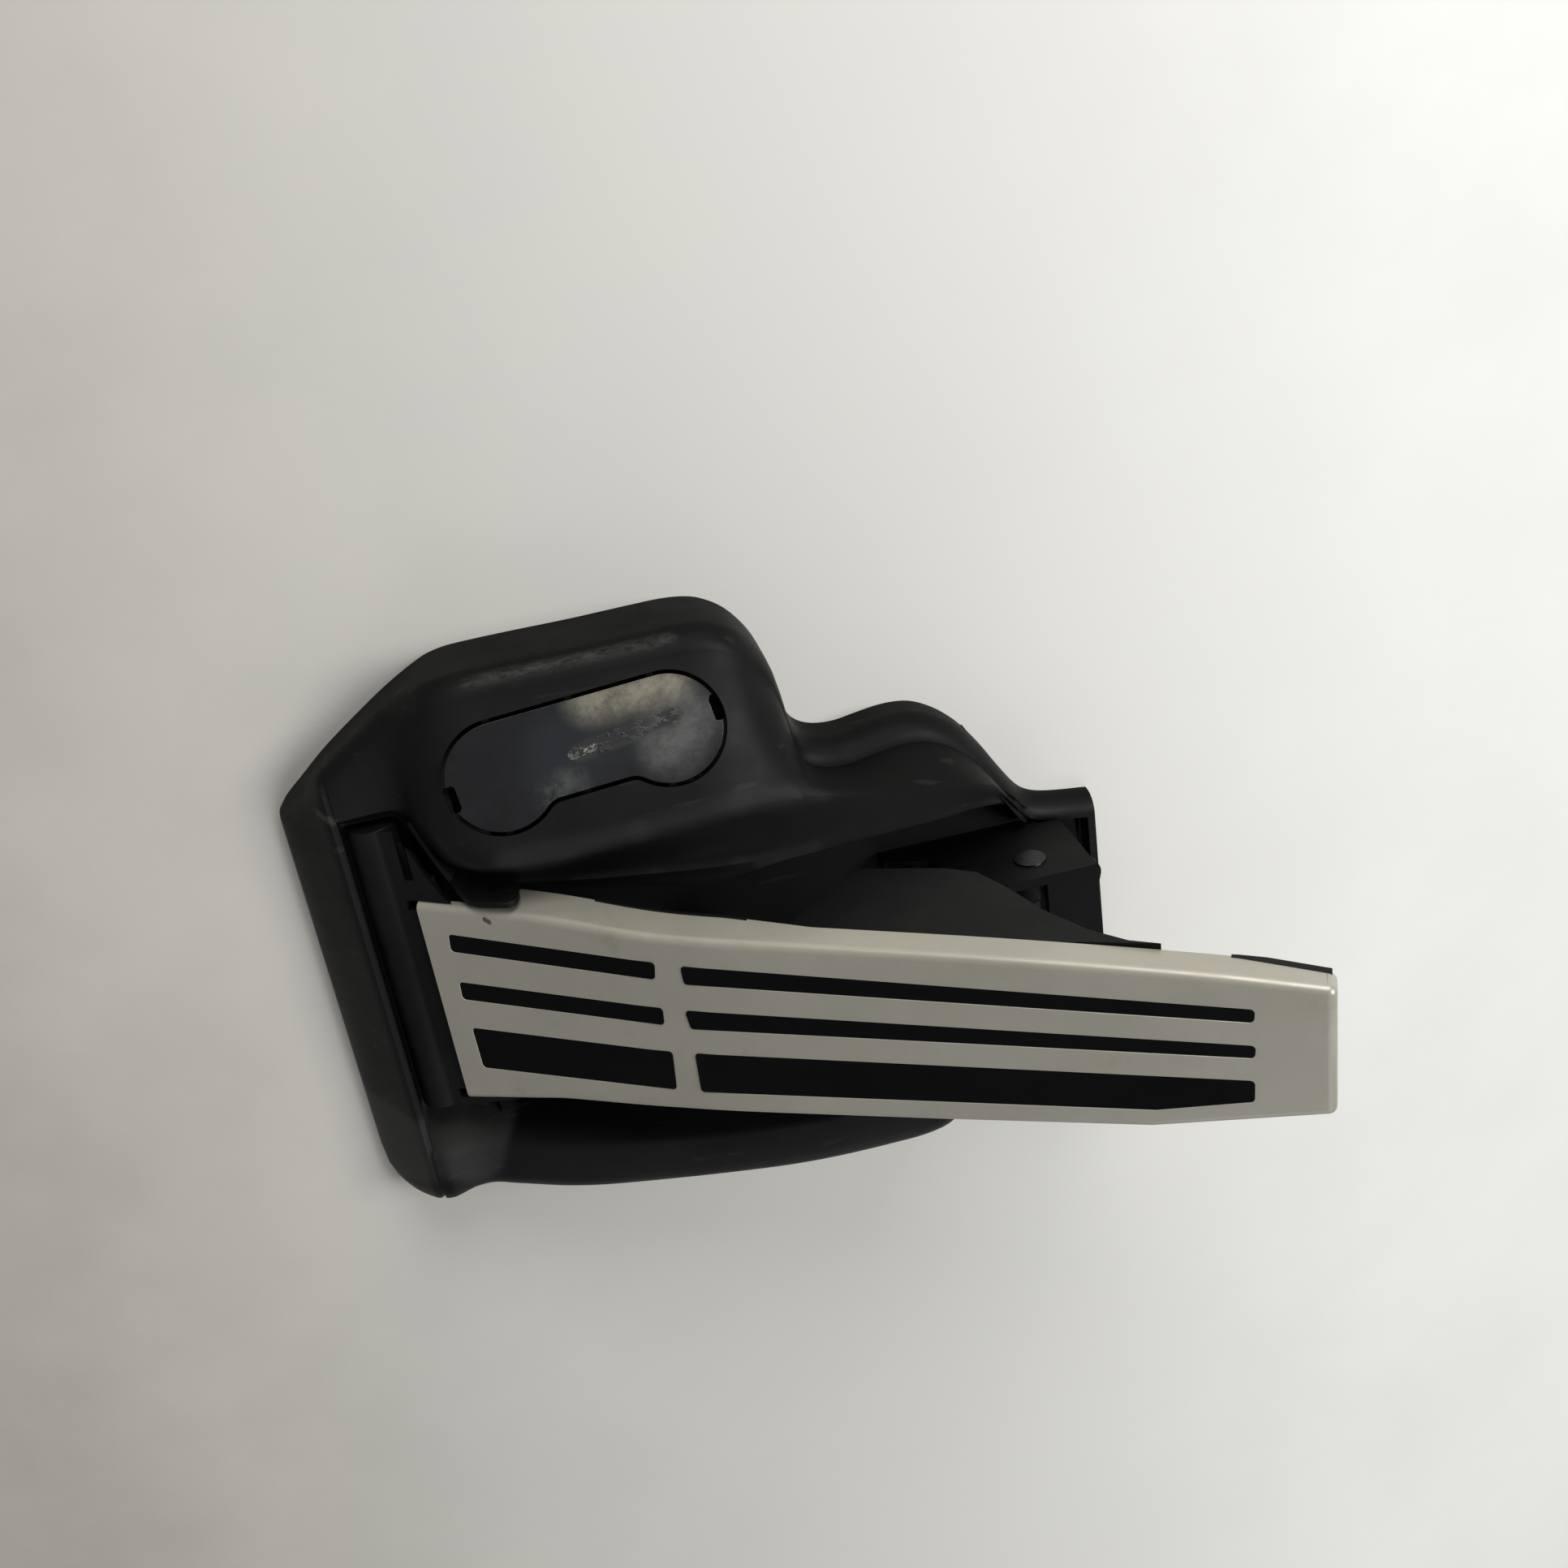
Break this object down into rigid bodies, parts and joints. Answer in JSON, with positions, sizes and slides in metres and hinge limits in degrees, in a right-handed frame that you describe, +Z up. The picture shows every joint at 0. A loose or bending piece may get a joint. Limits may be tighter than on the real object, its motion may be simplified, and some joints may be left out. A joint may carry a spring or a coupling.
{
  "type": "accelerator pedal",
  "caption": "Floor-hinged accelerator pedal module: moulded base with side fairing, slotted metal trim plate with rubber bars, sprung roller lever and angle sensor.",
  "frame": {"origin": "on the mounting face, under the middle of the heel hinge", "axes": "+X from the heel to the toe of the pedal, +Y towards the raised side fairing, +Z up from the mounting face"},
  "size_m": [0.2092, 0.1433, 0.1188],
  "materials": {
    "base_shell": "satin moulded, dusty",
    "mount_bushes": "plated",
    "bolt_cap": "glossy, scuffed",
    "pedal_carrier": "satin moulded",
    "rubber_mat": "dull",
    "trim_plate": "satin",
    "mechanism_housing": "moulded",
    "housing_screws": "plated",
    "lever": "glass-filled",
    "lever_shaft": "ground",
    "roller": "smooth",
    "roller_pin": "ground",
    "return_spring_outer": "spring steel",
    "return_spring_inner": "spring steel",
    "spring_seat": "smooth",
    "friction_shoe": "dull",
    "rest_bumper": "dull",
    "sensor_rotor": "smooth",
    "rotor_magnet": "sintered",
    "sensor_board": "coated",
    "sensor_cover": "moulded",
    "cover_seal": "dull",
    "cover_screws": "plated",
    "connector_pins": "plated",
    "kickdown_sleeve": "smooth",
    "kickdown_plunger": "smooth",
    "kickdown_spring": "spring steel"
  },
  "bodies": {
    "base": {"base_shell": "base_shell", "mount_bushes": "mount_bushes", "bolt_cap": "bolt_cap", "mechanism_housing": "mechanism_housing", "housing_screws": "housing_screws", "return_spring_outer": "return_spring_outer", "return_spring_inner": "return_spring_inner", "spring_seat": "spring_seat", "friction_shoe": "friction_shoe", "rest_bumper": "rest_bumper", "sensor_board": "sensor_board", "sensor_cover": "sensor_cover", "cover_seal": "cover_seal", "cover_screws": "cover_screws", "connector_pins": "connector_pins", "kickdown_sleeve": "kickdown_sleeve", "kickdown_spring": "kickdown_spring"},
    "pedal": {"pedal_carrier": "pedal_carrier", "rubber_mat": "rubber_mat", "trim_plate": "trim_plate"},
    "lever": {"lever": "lever", "lever_shaft": "lever_shaft", "roller_pin": "roller_pin", "sensor_rotor": "sensor_rotor", "rotor_magnet": "rotor_magnet"},
    "roller": {"roller": "roller"},
    "kickdown": {"kickdown_plunger": "kickdown_plunger"}
  },
  "joints": [
    {"name": "pedal_hinge", "type": "hinge", "parent": "base", "child": "pedal", "pos_m": [0, 0, 0.013], "axis": [0, 1, 0], "range_deg": [0, 15], "stiffness_Nm_per_rad": 8, "springref_deg": -17.19},
    {"name": "lever_pivot", "type": "hinge", "parent": "base", "child": "lever", "pos_m": [0.154, -0.012, 0.024], "axis": [0, 1, 0], "range_deg": [-34.6, 0], "deforming": ["return_spring_outer", "return_spring_inner"]},
    {"name": "roller_spin", "type": "hinge", "parent": "lever", "child": "roller", "pos_m": [0.108, -0.012, 0.056], "axis": [0, 1, 0], "continuous": true},
    {"name": "kickdown_slide", "type": "slide", "parent": "base", "child": "kickdown", "axis": [0, 0, -1], "range_m": [0, 0.004], "stiffness_N_per_m": 1500, "springref_m": -0.003, "deforming": ["kickdown_spring"]}
  ],
  "couplings": [
    {"joint": "lever_pivot", "follows": "pedal_hinge", "ratio": -2.3}
  ]
}
